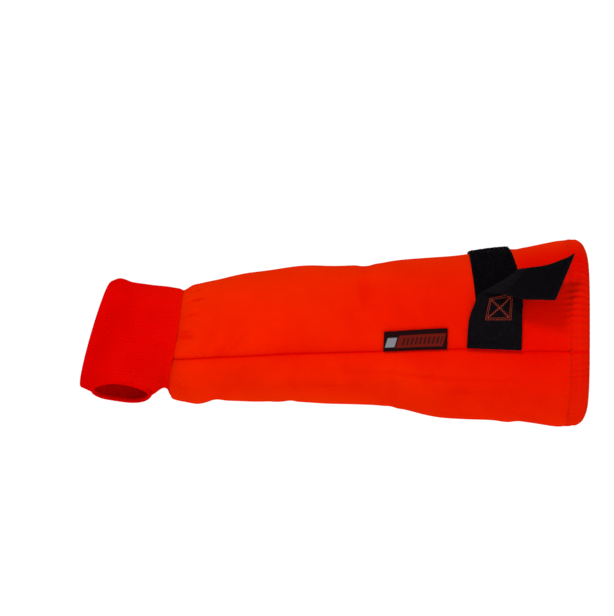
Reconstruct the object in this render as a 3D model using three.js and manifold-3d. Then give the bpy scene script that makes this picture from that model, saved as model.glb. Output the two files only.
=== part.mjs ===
// Chainsaw arm protector in its worn form: padded sleeve in two panels, knitted cuff with a
// thumb hole, gathered elbow hem, lifted fastening strap, loop strip, hook tape, seam label.
// Millimetres. X runs along the arm from hand to elbow, Z is up and -Y is the strap's side.
// The origin is on the arm's axis at the wrist seam.

import * as THREE from "three";
import Module from "manifold-3d";

const wasm = await Module();
wasm.setup();

// Driving dimensions
const SEWN_GAP = 0.3;
const TAPE_GAP = 0.45;
const PANEL_WALL = 6;
const PANEL_EDGE_WALL = 3;
const WRIST_TAPER = 6;
const CUFF_WALL = 3;
const HEM_WALL = 7;
const HEM_LIP_RADIUS = 3.2;
const STRAP_THICK = 1.8;
const HOOK_THICK = 1.2;
const HOOK_INSET = 3;
const LOOP_THICK = 2;
const LABEL_THICK = 1.2;
const LABEL_HEIGHT = 15.5;
const LABEL_EDGE_LIFT = 0.8;

// Gathers, seam dips and hem gathers
const GATHER_COUNT = 22;
const GATHER_RISE = 0.9;
const GATHER_REACH = 9;
const SEAM_DIP = 1.6;
const SEAM_REACH = 5;
const HEM_GATHER_COUNT = 36;
const HEM_GATHER_RISE = 0.6;
const HEM_GATHER_REACH = 5;

// Thumb hole: an oval cut through the cuff's underside, its axis tipped to the front
const THUMB_HOLE = {
  centre: new THREE.Vector3(-44, -8.4, -45),
  axis: new THREE.Vector3(-0.08, -0.49, -0.87),
  halfLength: 22,
  halfWidth: 14,
  reach: 40,
  sides: 28,
};

// Grid sizes
const UPPER_COLUMNS = 48;
const LOWER_COLUMNS = 34;
const CUFF_COLUMNS = 48;
const HEM_COLUMNS = 72;
const LOOP_COLUMNS = 30;
const STRIP_ROWS = 3;
const STRAP_STEPS = 26;
const HOOK_STEPS = 14;
const LABEL_COLUMNS = 4;
const LABEL_ROWS = 6;

// Stations of the sleeve: top, bottom and seam heights, depth from front to back, slimming of
// the underside, and how far the section leans along X per millimetre of Z and of Y
const SLEEVE = [
  { x: 0, top: 36.5, bottom: -42.5, depth: 56, seam: -17.4, hang: 0, lean: 0.16, yaw: 0 },
  { x: 2.5, top: 37.6, bottom: -48, depth: 63, seam: -17.2, hang: 0, lean: 0.155, yaw: 0 },
  { x: 7, top: 40.4, bottom: -50.8, depth: 69, seam: -16.8, hang: 0, lean: 0.15, yaw: 0 },
  { x: 13, top: 42.4, bottom: -52.2, depth: 74, seam: -16.4, hang: 0, lean: 0.145, yaw: 0 },
  { x: 24, top: 45, bottom: -52.6, depth: 79, seam: -15.8, hang: 0, lean: 0.13, yaw: 0 },
  { x: 57, top: 52, bottom: -51.8, depth: 86, seam: -14.4, hang: 0, lean: 0.1, yaw: 0 },
  { x: 99, top: 56.8, bottom: -52.8, depth: 91, seam: -13, hang: 0, lean: 0.07, yaw: 0 },
  { x: 147, top: 57.4, bottom: -55, depth: 95, seam: -12, hang: 0.02, lean: 0.04, yaw: 0 },
  { x: 172, top: 61, bottom: -56.8, depth: 98, seam: -11.4, hang: 0.04, lean: 0.03, yaw: 0 },
  { x: 200, top: 62.8, bottom: -63, depth: 101, seam: -10.6, hang: 0.08, lean: 0.02, yaw: 0 },
  { x: 232, top: 66, bottom: -67, depth: 105, seam: -10.1, hang: 0.12, lean: 0.01, yaw: 0 },
  { x: 270, top: 70, bottom: -68.2, depth: 109, seam: -12, hang: 0.13, lean: 0, yaw: 0 },
  { x: 300, top: 75, bottom: -72, depth: 112, seam: -12.1, hang: 0.13, lean: 0, yaw: 0 },
  { x: 316, top: 76.8, bottom: -71.4, depth: 113, seam: -12.1, hang: 0.13, lean: 0, yaw: 0 },
  { x: 322, top: 75, bottom: -69.4, depth: 111, seam: -12, hang: 0.12, lean: 0, yaw: 0 },
  { x: 327, top: 68.5, bottom: -63, depth: 105, seam: -12, hang: 0.12, lean: 0, yaw: 0 },
];

// Stations of the cuff, from its slanted hand edge to the wrist seam
const CUFF = [
  { x: -66, top: 43.5, bottom: -40.5, depth: 46, hang: 0, lean: 0.287, yaw: 0.08 },
  { x: -58, top: 46.3, bottom: -44, depth: 50, hang: 0, lean: 0.27, yaw: 0.07 },
  { x: -46, top: 43.5, bottom: -50, depth: 55, hang: 0, lean: 0.24, yaw: 0.05 },
  { x: -30, top: 41.3, bottom: -53, depth: 58, hang: 0, lean: 0.21, yaw: 0.03 },
  { x: -18, top: 40.2, bottom: -51.6, depth: 57, hang: 0, lean: 0.19, yaw: 0.01 },
  { x: -10, top: 39.4, bottom: -45, depth: 55, hang: 0, lean: 0.175, yaw: 0 },
  { x: -4, top: 38.2, bottom: -42, depth: 54, hang: 0, lean: 0.165, yaw: 0 },
  { x: -SEWN_GAP, top: 36.8, bottom: -42.3, depth: 55, hang: 0, lean: 0.16, yaw: 0 },
];

// Where the grids have their rows
const PANEL_ROWS = [
  0, 2.5, 7, 13, 20, 29, 40, 57, 78, 99, 123, 147, 172, 200, 232, 244, 257, 270, 290, 316,
];
const CUFF_ROWS = [-66, -62, -58, -52, -46, -38, -30, -18, -10, -4, -SEWN_GAP];
const HEM_ROWS = [316 + SEWN_GAP, 319, 322, 325, 327];

// Folds and dents of the sleeve: place, half-length along the arm, half-width in degrees
// round it, rise outwards, and how many millimetres along X the fold runs per degree
const FOLDS = [
  { x: 42, angle: 0, length: 7, width: 20, rise: -1.5, skew: 0.4 },
  { x: 27, angle: 4, length: 5, width: 18, rise: -1.1, skew: 0.2 },
  { x: 36, angle: -90, length: 7, width: 36, rise: -1.8, skew: 0.1 },
  { x: 70, angle: -52, length: 22, width: 12, rise: 1.2, skew: 0.3 },
  { x: 118, angle: 92, length: 16, width: 34, rise: -1, skew: 0.15 },
  { x: 160, angle: 86, length: 12, width: 34, rise: -1.3, skew: -0.2 },
  { x: 150, angle: 40, length: 26, width: 14, rise: -1, skew: 0.7 },
  { x: 178, angle: -88, length: 14, width: 30, rise: -1.4, skew: 0.2 },
  { x: 222, angle: -50, length: 13, width: 26, rise: -1.8, skew: 0.45 },
  { x: 264, angle: -88, length: 8, width: 30, rise: 0.9, skew: 0.2 },
  { x: 290, angle: 30, length: 14, width: 30, rise: -1.4, skew: -0.3 },
  { x: 60, angle: 180, length: 12, width: 24, rise: -1.6, skew: 0.4 },
  { x: 140, angle: 196, length: 16, width: 26, rise: -1.8, skew: -0.5 },
  { x: 214, angle: 176, length: 14, width: 28, rise: -1.6, skew: 0.4 },
  { x: 276, angle: 210, length: 12, width: 24, rise: -1.5, skew: 0.3 },
];

// Edges of the strap from its sewn root to its free end: X, Z and the lift off the sleeve
const STRAP_EDGES = [
  { leftX: 228.6, leftZ: -9, leftLift: 1.6, rightX: 271.1, rightZ: -10.8, rightLift: 1.6 },
  { leftX: 229.6, leftZ: 11.5, leftLift: 3, rightX: 271.3, rightZ: 11.5, rightLift: 3 },
  { leftX: 233.9, leftZ: 25, leftLift: 4.4, rightX: 271.5, rightZ: 29.5, rightLift: 4.4 },
  { leftX: 239.2, leftZ: 33.3, leftLift: 8, rightX: 269, rightZ: 49.5, rightLift: 7.5 },
  { leftX: 257, leftZ: 32.5, leftLift: 18, rightX: 277.8, rightZ: 53.2, rightLift: 15 },
  { leftX: 270.6, leftZ: 29, leftLift: 23, rightX: 288.9, rightZ: 55.2, rightLift: 22 },
  { leftX: 283.3, leftZ: 28.6, leftLift: 26, rightX: 300, rightZ: 58.8, rightLift: 28.5 },
  { leftX: 294.6, leftZ: 28.2, leftLift: 28, rightX: 311.3, rightZ: 64.2, rightLift: 35 },
];
const HOOK_START = 0.56;
const HOOK_END = 0.975;

// Edges of the loop strip round the sleeve, by angle from the front
const LOOP_EDGES = [
  { x: 18, left: 236, right: 272.5 },
  { x: 34, left: 234.5, right: 271.5 },
  { x: 60, left: 232.5, right: 267 },
  { x: 90, left: 232, right: 264.5 },
  { x: 130, left: 232, right: 266 },
  { x: 188, left: 232, right: 268 },
];

// Ends of the label along X
const LABEL_LEFT = 164;
const LABEL_RIGHT = 213.4;

const COLOURS = {
  upper_panel: 0xef1c01,
  lower_panel: 0xec1c01,
  knit_cuff: 0xd80301,
  elbow_hem: 0xe41802,
  loop_strip: 0x0b080c,
  fastening_strap: 0x120e10,
  hook_tape: 0x0e0b0f,
  seam_label: 0x1c1012,
};

const { degToRad, radToDeg, clamp, lerp, euclideanModulo } = THREE.MathUtils;

// Every column of a station table at a place along it, as cubics through the rows.
function stationAt(table, x) {
  const last = table.length - 1;
  let k = 0;
  while (k < last - 1 && x > table[k + 1].x) {
    k += 1;
  }
  const [a, b] = [table[k], table[k + 1]];
  const before = table[Math.max(k - 1, 0)];
  const after = table[Math.min(k + 2, last)];
  const span = b.x - a.x;
  const t = (x - a.x) / span;
  const station = {};
  for (const column of Object.keys(a)) {
    const slopeA = ((b[column] - before[column]) / (b.x - before.x)) * span;
    const slopeB = ((after[column] - a[column]) / (after.x - a.x)) * span;
    const rise = b[column] - a[column];
    const curve = (slopeA - rise) * (1 - t) + (rise - slopeB) * t;
    station[column] = a[column] + rise * t + t * (1 - t) * curve;
  }
  return station;
}

// A point of a tube's section. Angle 0 is the front and 90 the top; offset goes outwards.
function tubePoint(table, x, angle, offset) {
  const s = stationAt(table, x);
  const turn = degToRad(angle);
  const halfDepth = s.depth / 2;
  const halfHeight = (s.top - s.bottom) / 2;
  const slim = 1 - s.hang * Math.max(0, -Math.sin(turn)) ** 2;
  const normal = new THREE.Vector2(
    -Math.cos(turn) * halfHeight,
    Math.sin(turn) * halfDepth,
  ).normalize();
  const y = -halfDepth * slim * Math.cos(turn) + offset * normal.x;
  const z = (s.top + s.bottom) / 2 + halfHeight * Math.sin(turn) + offset * normal.y;
  return new THREE.Vector3(x + s.lean * z + s.yaw * y, y, z);
}

// Angle on the sleeve's front at which the cloth has a given height.
function frontAngle(x, z) {
  const s = stationAt(SLEEVE, x);
  const sine = (z - (s.top + s.bottom) / 2) / ((s.top - s.bottom) / 2);
  return radToDeg(Math.asin(clamp(sine, -1, 1)));
}

// Angles of the front and the back seam.
function seamAngles(x) {
  const front = frontAngle(x, stationAt(SLEEVE, x).seam);
  return [front, 180 - front];
}

function angleGap(angle, centre) {
  return euclideanModulo(angle - centre + 180, 360) - 180;
}

// Angle that spans a length of arc on the sleeve's sides.
function arcAngle(x, length) {
  const s = stationAt(SLEEVE, x);
  return radToDeg((2 * length) / (s.top - s.bottom));
}

// How far the cloth stands off the plain section: wrist gathers, seam dips and folds.
function relief(x, angle) {
  const gather = GATHER_RISE * Math.exp(-x / GATHER_REACH);
  let rise = gather * Math.cos(GATHER_COUNT * degToRad(angle));
  const reach = arcAngle(x, SEAM_REACH);
  for (const seam of seamAngles(x)) {
    rise -= SEAM_DIP * Math.exp(-((angleGap(angle, seam) / reach) ** 2));
  }
  for (const fold of FOLDS) {
    const turn = angleGap(angle, fold.angle);
    const along = (x - fold.x - fold.skew * turn) / fold.length;
    rise += fold.rise * Math.exp(-(along ** 2) - (turn / fold.width) ** 2);
  }
  return rise;
}

function sleevePoint(x, angle, offset) {
  return tubePoint(SLEEVE, x, angle, relief(x, angle) + offset);
}

// One closed wall between an outer and an inner grid of points. Rows run along the arm and
// columns round it; a ring's last column meets its first.
function wallGeometry(rows, columns, outer, inner, ring) {
  const perRow = ring ? columns : columns + 1;
  const points = [];
  for (const side of [outer, inner]) {
    for (let i = 0; i <= rows; i += 1) {
      for (let j = 0; j < perRow; j += 1) {
        points.push(...side(i, j).toArray());
      }
    }
  }
  const faces = [];
  const at = (side, i, j) => (side * (rows + 1) + i) * perRow + (j % perRow);
  const quad = (a, b, c, d) => faces.push(a, b, c, a, c, d);
  for (let j = 0; j < columns; j += 1) {
    for (let i = 0; i < rows; i += 1) {
      quad(at(0, i, j), at(0, i + 1, j), at(0, i + 1, j + 1), at(0, i, j + 1));
      quad(at(1, i, j), at(1, i, j + 1), at(1, i + 1, j + 1), at(1, i + 1, j));
    }
    quad(at(0, 0, j), at(0, 0, j + 1), at(1, 0, j + 1), at(1, 0, j));
    quad(at(0, rows, j), at(1, rows, j), at(1, rows, j + 1), at(0, rows, j + 1));
  }
  if (!ring) {
    for (let i = 0; i < rows; i += 1) {
      quad(at(0, i, 0), at(1, i, 0), at(1, i + 1, 0), at(0, i + 1, 0));
      quad(at(0, i, columns), at(0, i + 1, columns), at(1, i + 1, columns), at(1, i, columns));
    }
  }
  const geometry = new THREE.BufferGeometry();
  geometry.setAttribute("position", new THREE.Float32BufferAttribute(points, 3));
  geometry.setIndex(faces);
  return geometry;
}

// A padded panel between two seams, thinner at the wrist and at the seams.
function panelGeometry(columns, seamSpan) {
  const place = (i, j) => {
    const x = PANEL_ROWS[i];
    const [from, to] = seamSpan(x);
    const gap = arcAngle(x, SEWN_GAP / 2);
    return [x, lerp(from + gap, to - gap, j / columns)];
  };
  const outer = (i, j) => sleevePoint(...place(i, j), 0);
  const inner = (i, j) => {
    const [x, angle] = place(i, j);
    const thinning = (PANEL_WALL - PANEL_EDGE_WALL) * Math.exp(-x / WRIST_TAPER);
    return tubePoint(SLEEVE, x, angle, thinning - PANEL_WALL);
  };
  return wallGeometry(PANEL_ROWS.length - 1, columns, outer, inner, false);
}

function upperSpan(x) {
  return seamAngles(x);
}

function lowerSpan(x) {
  const [front, back] = seamAngles(x);
  return [back, front + 360];
}

// The turned hem: a gathered ring whose free edge is rounded.
function hemGeometry() {
  const last = HEM_ROWS[HEM_ROWS.length - 1];
  const lip = (x) => {
    const past = Math.max(0, x - (last - HEM_LIP_RADIUS));
    return HEM_LIP_RADIUS - Math.sqrt(HEM_LIP_RADIUS ** 2 - past ** 2);
  };
  const point = (i, j, inset) => {
    const x = HEM_ROWS[i];
    const angle = (360 * j) / HEM_COLUMNS;
    const growth = 1 - Math.exp((HEM_ROWS[0] - x) / HEM_GATHER_REACH);
    const gather = HEM_GATHER_RISE * growth * Math.cos(HEM_GATHER_COUNT * degToRad(angle));
    return tubePoint(SLEEVE, x, angle, gather - inset);
  };
  const outer = (i, j) => point(i, j, lip(HEM_ROWS[i]));
  const inner = (i, j) => point(i, j, HEM_WALL - lip(HEM_ROWS[i]));
  return wallGeometry(HEM_ROWS.length - 1, HEM_COLUMNS, outer, inner, true);
}

function toManifold(geometry) {
  const mesh = new wasm.Mesh({
    numProp: 3,
    vertProperties: new Float32Array(geometry.attributes.position.array),
    triVerts: new Uint32Array(geometry.index.array),
  });
  mesh.merge();
  return new wasm.Manifold(mesh);
}

function fromManifold(solid) {
  const mesh = solid.getMesh();
  const geometry = new THREE.BufferGeometry();
  geometry.setAttribute("position", new THREE.BufferAttribute(mesh.vertProperties, 3));
  geometry.setIndex(new THREE.BufferAttribute(mesh.triVerts, 1));
  return geometry;
}

// The oval cutter of the thumb hole.
function thumbCutter() {
  const { centre, axis, halfLength, halfWidth, reach, sides } = THUMB_HOLE;
  const down = axis.clone().normalize();
  const across = new THREE.Vector3().crossVectors(down, new THREE.Vector3(1, 0, 0)).normalize();
  const along = new THREE.Vector3().crossVectors(across, down);
  const solid = new THREE.CylinderGeometry(1, 1, reach, sides);
  solid.deleteAttribute("normal");
  solid.deleteAttribute("uv");
  solid.scale(halfLength, 1, halfWidth);
  const frame = new THREE.Matrix4().makeBasis(along, down, across.clone().negate());
  solid.applyMatrix4(frame.setPosition(centre.clone().addScaledVector(down, reach / 4)));
  return solid;
}

function cuffGeometry() {
  const point = (i, j, offset) =>
    tubePoint(CUFF, CUFF_ROWS[i], (360 * j) / CUFF_COLUMNS, offset);
  const outer = (i, j) => point(i, j, 0);
  const inner = (i, j) => point(i, j, -CUFF_WALL);
  const tube = wallGeometry(CUFF_ROWS.length - 1, CUFF_COLUMNS, outer, inner, true);
  return fromManifold(toManifold(tube).subtract(toManifold(thumbCutter())));
}

// The loop strip lies on the sleeve from its front, over the top, to the back.
function loopStripGeometry() {
  const last = LOOP_EDGES[LOOP_EDGES.length - 1];
  const point = (i, j, height) => {
    const angle = lerp(LOOP_EDGES[0].x, last.x, j / LOOP_COLUMNS);
    const row = stationAt(LOOP_EDGES, angle);
    const x = lerp(row.left, row.right, i / STRIP_ROWS);
    return sleevePoint(x, angle, TAPE_GAP + height);
  };
  const outer = (i, j) => point(i, j, LOOP_THICK);
  const inner = (i, j) => point(i, j, 0);
  return wallGeometry(STRIP_ROWS, LOOP_COLUMNS, outer, inner, false);
}

// The label stands on the front seam; its free upper edge lifts a little.
function labelGeometry() {
  const point = (i, j, height) => {
    const x = lerp(LABEL_LEFT, LABEL_RIGHT, i / LABEL_ROWS);
    const part = j / LABEL_COLUMNS;
    const [seam] = seamAngles(x);
    const angle = seam + arcAngle(x, lerp(SEWN_GAP, LABEL_HEIGHT, part));
    return sleevePoint(x, angle, TAPE_GAP + height + LABEL_EDGE_LIFT * part);
  };
  const outer = (i, j) => point(i, j, LABEL_THICK);
  const inner = (i, j) => point(i, j, 0);
  return wallGeometry(LABEL_ROWS, LABEL_COLUMNS, outer, inner, false);
}

// Both edges of the strap at a part of its length.
function strapEdges(part) {
  const table = STRAP_EDGES.map((row, k) => ({ x: k, ...row }));
  const row = stationAt(table, part * (table.length - 1));
  const edge = (x, z, lift) => {
    const point = sleevePoint(x, frontAngle(x, z), 0);
    point.y -= lift;
    return point;
  };
  return {
    left: edge(row.leftX, row.leftZ, row.leftLift),
    right: edge(row.rightX, row.rightZ, row.rightLift),
  };
}

// A point of the strap's middle layer moved off it by a height; positive is its outer face.
function strapPoint(part, share, height) {
  const step = 0.01;
  const middle = (at) => {
    const { left, right } = strapEdges(at);
    return left.lerp(right, share);
  };
  const { left, right } = strapEdges(part);
  const across = right.sub(left);
  const along = middle(Math.min(part + step, 1)).sub(middle(Math.max(part - step, 0)));
  const normal = across.cross(along).normalize();
  return middle(part).addScaledVector(normal, height);
}

// A ribbon of the strap between two parts of its length and two heights.
function ribbonGeometry(steps, from, to, inset, low, high) {
  const point = (i, j, height) => {
    const part = lerp(from, to, j / steps);
    const { left, right } = strapEdges(part);
    const margin = inset / left.distanceTo(right);
    return strapPoint(part, lerp(margin, 1 - margin, i / STRIP_ROWS), height);
  };
  const outer = (i, j) => point(i, j, high);
  const inner = (i, j) => point(i, j, low);
  return wallGeometry(STRIP_ROWS, steps, outer, inner, false);
}

const strapHalf = STRAP_THICK / 2;
const hookTop = -strapHalf - SEWN_GAP;

const shapes = {
  upper_panel: panelGeometry(UPPER_COLUMNS, upperSpan),
  lower_panel: panelGeometry(LOWER_COLUMNS, lowerSpan),
  knit_cuff: cuffGeometry(),
  elbow_hem: hemGeometry(),
  loop_strip: loopStripGeometry(),
  fastening_strap: ribbonGeometry(STRAP_STEPS, 0, 1, 0, -strapHalf, strapHalf),
  hook_tape: ribbonGeometry(
    HOOK_STEPS, HOOK_START, HOOK_END, HOOK_INSET, hookTop - HOOK_THICK, hookTop,
  ),
  seam_label: labelGeometry(),
};

const protector = new THREE.Group();
protector.name = "chainsaw_arm_protector";
for (const [name, geometry] of Object.entries(shapes)) {
  geometry.computeVertexNormals();
  const material = new THREE.MeshStandardMaterial({ color: COLOURS[name], roughness: 0.9 });
  const mesh = new THREE.Mesh(geometry, material);
  mesh.name = name;
  protector.add(mesh);
}

export default protector;
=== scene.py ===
import math

import bpy
import numpy as np
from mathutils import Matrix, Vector


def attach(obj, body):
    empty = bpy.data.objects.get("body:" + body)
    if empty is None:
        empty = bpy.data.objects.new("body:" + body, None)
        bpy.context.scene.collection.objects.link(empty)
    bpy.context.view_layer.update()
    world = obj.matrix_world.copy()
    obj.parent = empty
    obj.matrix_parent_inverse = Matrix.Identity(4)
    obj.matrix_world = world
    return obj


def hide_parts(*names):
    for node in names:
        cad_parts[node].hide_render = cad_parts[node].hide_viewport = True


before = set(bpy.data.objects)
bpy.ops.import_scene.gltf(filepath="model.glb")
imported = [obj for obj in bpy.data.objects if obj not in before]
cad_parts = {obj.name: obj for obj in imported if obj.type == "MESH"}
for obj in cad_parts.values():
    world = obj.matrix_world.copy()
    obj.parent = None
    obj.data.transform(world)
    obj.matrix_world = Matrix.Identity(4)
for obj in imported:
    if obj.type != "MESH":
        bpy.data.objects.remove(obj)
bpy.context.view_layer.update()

# Sizes are in mm and angles in degrees from the front (-Y) over the top. X runs along the arm from
# hand to elbow, Z is up and -Y is the strap's side. Meshes are made in metres.
MM = 0.001

# Sections: x, top, bottom, depth, height of the seam, share of depth lost below, lean, yaw
SLEEVE = np.array([
    (0, 36.5, -42.5, 56, -18.8, 0, 0.16, 0),
    (2.5, 37.6, -48, 63, -18.7, 0, 0.155, 0),
    (7, 40.4, -50.8, 69, -18.5, 0, 0.15, 0),
    (13, 42.4, -52.2, 74, -18.3, 0, 0.145, 0),
    (24, 45, -52.6, 79, -17.9, 0, 0.13, 0),
    (57, 52, -51.8, 86, -16.3, 0, 0.1, 0),
    (99, 56.8, -52.8, 91, -14.4, 0, 0.07, 0),
    (147, 57.4, -55, 95, -12.8, 0.02, 0.04, 0),
    (172, 61, -56.8, 98, -11.8, 0.04, 0.03, 0),
    (200, 62.8, -63, 101, -10.6, 0.08, 0.02, 0),
    (232, 66, -67, 105, -10.1, 0.12, 0.01, 0),
    (270, 70, -68.2, 109, -12, 0.13, 0, 0),
    (300, 75, -72, 112, -12.1, 0.13, 0, 0),
    (316, 76.8, -71.4, 113, -12.1, 0.13, 0, 0),
    (322, 75, -69.4, 111, -12, 0.12, 0, 0),
    (327, 68.5, -63, 105, -12, 0.12, 0, 0),
], float)
CUFF = np.array([
    (-66, 43.5, -40.5, 46, 0, 0, 0.287, 0.08),
    (-58, 46.3, -44, 50, 0, 0, 0.27, 0.07),
    (-46, 43.5, -50, 55, 0, 0, 0.24, 0.05),
    (-30, 41.3, -53, 58, 0, 0, 0.21, 0.03),
    (-18, 40.2, -51.6, 57, 0, 0, 0.19, 0.01),
    (-10, 39.4, -46.4, 55, 0, 0, 0.175, 0),
    (-4, 38.2, -41.7, 54, 0, 0, 0.165, 0),
    (-0.3, 36.8, -42.6, 55, 0, 0, 0.16, 0),
    (2.5, 37.6, -47.4, 62, 0, 0, 0.155, 0),
    (7, 40.4, -50.8, 68, 0, 0, 0.15, 0),
], float)
TOP, BOTTOM, DEPTH, SEAM, HANG, LEAN, YAW = range(1, 8)

# Folds: x, angle, half-length, half-width in degrees, rise, skew in mm for each degree
FOLDS = [
    (42, 0, 7, 20, -1.5, 0.4),
    (27, 4, 5, 18, -1.1, 0.2),
    (37, -90, 6, 36, -1.3, 0.1),
    (24, -90, 8, 36, 1.7, 0),
    (70, -52, 22, 12, 1.2, 0.3),
    (118, 92, 16, 34, -0.4, 0.15),
    (160, 86, 12, 34, -0.4, -0.2),
    (150, 40, 26, 14, -1, 0.7),
    (178, -88, 14, 30, 0.6, 0.2),
    (222, -50, 13, 26, -1.8, 0.45),
    (264, -88, 8, 30, 0.9, 0.2),
    (290, 30, 14, 26, -1.4, -0.3),
    (262, 90, 24, 40, 1.6, 0),
    (206, -88, 16, 30, 1.4, 0),
    (60, 180, 12, 24, -1.6, 0.4),
    (140, 196, 16, 26, -1.8, -0.5),
    (214, 176, 14, 28, -1.6, 0.4),
    (276, 210, 12, 24, -1.5, 0.3),
]
CUFF_FOLDS = [
    (-52, 40, 5, 40, -0.7, 0.12),
    (-40, 20, 4, 34, 0.5, 0.15),
    (-20, -20, 4, 40, -0.6, -0.1),
    (-12, 60, 4, 36, -0.5, 0.1),
    (-34, 150, 5, 40, -0.7, 0.15),
    (-50, 210, 5, 36, 0.6, 0.1),
]
# Strap from its root to its free end: step, then x, z and lift of its left and of its right edge
STRAP = np.array([
    (0, 228.6, -9, 1.6, 271.1, -10.8, 1.6),
    (1, 229.6, 11.5, 3, 271.3, 11.5, 3),
    (2, 233.9, 25, 4.4, 271.5, 29.5, 4.4),
    (3, 239.2, 33.3, 8, 269, 49.5, 7.5),
    (4, 257, 32.5, 18, 277.8, 53.2, 15),
    (5, 270.6, 29, 23, 288.9, 55.2, 22),
    (6, 283.3, 28.6, 26, 300, 58.8, 28.5),
    (7, 294.6, 28.2, 28, 311.3, 64.2, 35),
], float)
LEFT_EDGE, RIGHT_EDGE = 1, 4
# Edges of the loop strip: angle, left x, right x
LOOP = np.array([
    (18, 236, 272.5),
    (34, 234.5, 271.5),
    (60, 232.5, 267),
    (90, 232, 264.5),
    (130, 232, 266),
    (188, 232, 268),
], float)
# Painted shadow, redder and darker, along the sleeve: x, share
SHADOW_ALONG = [(110, 0), (200, 0.55), (250, 0.65), (280, 0.95), (305, 0.9), (314, 0.5), (327, 0.45)]

# Walls, ends and seams
PANEL_WALL, PANEL_EDGE_WALL, WRIST_TAPER = 6.0, 3.0, 6.0
SEAM_GAP, SEAM_REACH, SEAM_HOLLOW = 0.12, 5.5, 1.2
HEM_WALL, HEM_LIP, HEM_GAP, HEM_STITCHES = 7.0, 3.2, 0.02, 84
HEM_START, HEM_END = 310.5, SLEEVE[-1, 0]
CUFF_WALL, CUFF_OVERLAP, RIBS = 3.0, 4.4, 108
CUFF_START, CUFF_SEWN = CUFF[0, 0], -0.3
# Shifts of the end seams along x: x, reach, angle, spread, shift
BOWS = [(0, 16, 2, 38, 1.6), (0, 16, -80, 28, -0.7), (HEM_END, 14, 0, 50, -2.2)]
# Strap, tapes and label
STRAP_WIDE, STRAP_LONG, STRAP_HALF = 40.0, 118.0, 0.9
HOOK_INSET, HOOK_HALF, HOOK_BASE, HOOK_MARGIN = 3.0, 0.5, 0.6, 1.0
HOOK_SPAN, HOOK_TOP = (0.56, 0.975), -STRAP_HALF - 0.12
LOOP_FROM, LOOP_TO = LOOP[0, 0], LOOP[-1, 0]
TAPE_GAP, LOOP_WIDE, LOOP_HALF, LOOP_SEWN = 0.45, 35.0, 0.7, 1.8
LABEL_LEFT, LABEL_WIDE, LABEL_HEIGHT, LABEL_RISE, LABEL_HALF = 164.0, 49.4, 16.1, 0.7, 0.5
# Box stitch on the strap: mm across, its height, and its foot as a share of the strap
MARK_LEFT, MARK_RIGHT, MARK_HEIGHT, MARK_FROM = 12.5, 31.5, 19.0, 0.155

rng = np.random.default_rng(7)


def bell(value, width):
    """1 at zero, falling smoothly to both sides."""
    return np.exp(-((value / width) ** 2))


def decay(value, length):
    """1 at zero, falling by e over each length."""
    return np.exp(-value / length)


def unit(vectors):
    return vectors / np.linalg.norm(vectors, axis=-1, keepdims=True)


def pairs(first, second):
    """Two arrays of fitting shapes as one grid of pairs."""
    return np.stack(np.broadcast_arrays(first, second), -1)


def closed(grid, axis):
    """A grid with its start repeated at its end."""
    return np.concatenate([grid, grid.take([0], axis)], axis)


def around(count, whole=2 * math.pi):
    """Even steps of one turn."""
    return np.linspace(0, whole, count, endpoint=False)


def angle_gap(angle, centre):
    """Way round from centre, -180 to 180."""
    return (angle - centre + 180) % 360 - 180


# Form of the sleeve


def stations(table, x):
    """Every column of a table at x, as cubics through its rows."""
    x = np.asarray(x, float)
    k = np.clip(np.searchsorted(table[:, 0], x, side="left") - 1, 0, len(table) - 2)
    a, b = table[k], table[k + 1]
    before, after = table[np.maximum(k - 1, 0)], table[np.minimum(k + 2, len(table) - 1)]
    span = b[..., :1] - a[..., :1]
    t = (x[..., None] - a[..., :1]) / span
    slope_a = (b - before) / (b[..., :1] - before[..., :1]) * span
    slope_b = (after - a) / (after[..., :1] - a[..., :1]) * span
    rise = b - a
    return a + rise * t + t * (1 - t) * ((slope_a - rise) * (1 - t) + (rise - slope_b) * t)


def heights(s):
    """Middle and half height of sections."""
    return (s[..., TOP] + s[..., BOTTOM]) / 2, (s[..., TOP] - s[..., BOTTOM]) / 2


def bow(x, angle):
    """The wrist seam bows towards the elbow in front and the hand below, the hem inwards in front."""
    return sum(shift * bell(angle_gap(angle, turn), spread) * bell(x - at, reach)
               for at, reach, turn, spread, shift in BOWS)


def tube(table, x, angle, offset):
    """Points of a tube's section at x and angle, offset outwards."""
    x, angle, offset = np.broadcast_arrays(np.asarray(x, float), angle, offset)
    s = stations(table, x)
    turn = np.radians(angle)
    middle, half_height = heights(s)
    half_depth = s[..., DEPTH] / 2
    slim = 1 - s[..., HANG] * np.maximum(0, -np.sin(turn)) ** 2
    ny, nz = -np.cos(turn) * half_height, np.sin(turn) * half_depth
    size = np.hypot(ny, nz)
    y = -half_depth * slim * np.cos(turn) + offset * ny / size
    z = middle + half_height * np.sin(turn) + offset * nz / size
    return np.stack([x + s[..., LEAN] * z + s[..., YAW] * y + bow(x, angle), y, z], -1)


def wrist_edge(angle):
    """How far the cuff reaches over the sleeve's start below."""
    return CUFF_OVERLAP * bell(angle_gap(angle, -90), 30)


def front_angle(x, z):
    """Angle of the sleeve's front at height z."""
    middle, half = heights(stations(SLEEVE, x))
    return np.degrees(np.arcsin(np.clip((z - middle) / half, -1, 1)))


def seam_angle(x):
    """Angle of the front seam. The back seam mirrors it."""
    return front_angle(x, stations(SLEEVE, x)[..., SEAM])


def arc_angle(x, length):
    """Angle of an arc of this length round the sleeve."""
    return np.degrees(length / heights(stations(SLEEVE, x))[1])


def bumps(x, angle, rows):
    """Sum of soft ridges and dents, given in the columns of FOLDS."""
    rise = np.zeros(np.broadcast(x, angle).shape)
    for fold_x, fold_angle, length, width, height, skew in rows:
        turn = angle_gap(angle, fold_angle)
        along = (x - fold_x - skew * turn) / length
        rise = rise + height * np.exp(-(along ** 2) - (turn / width) ** 2)
    return rise


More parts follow.
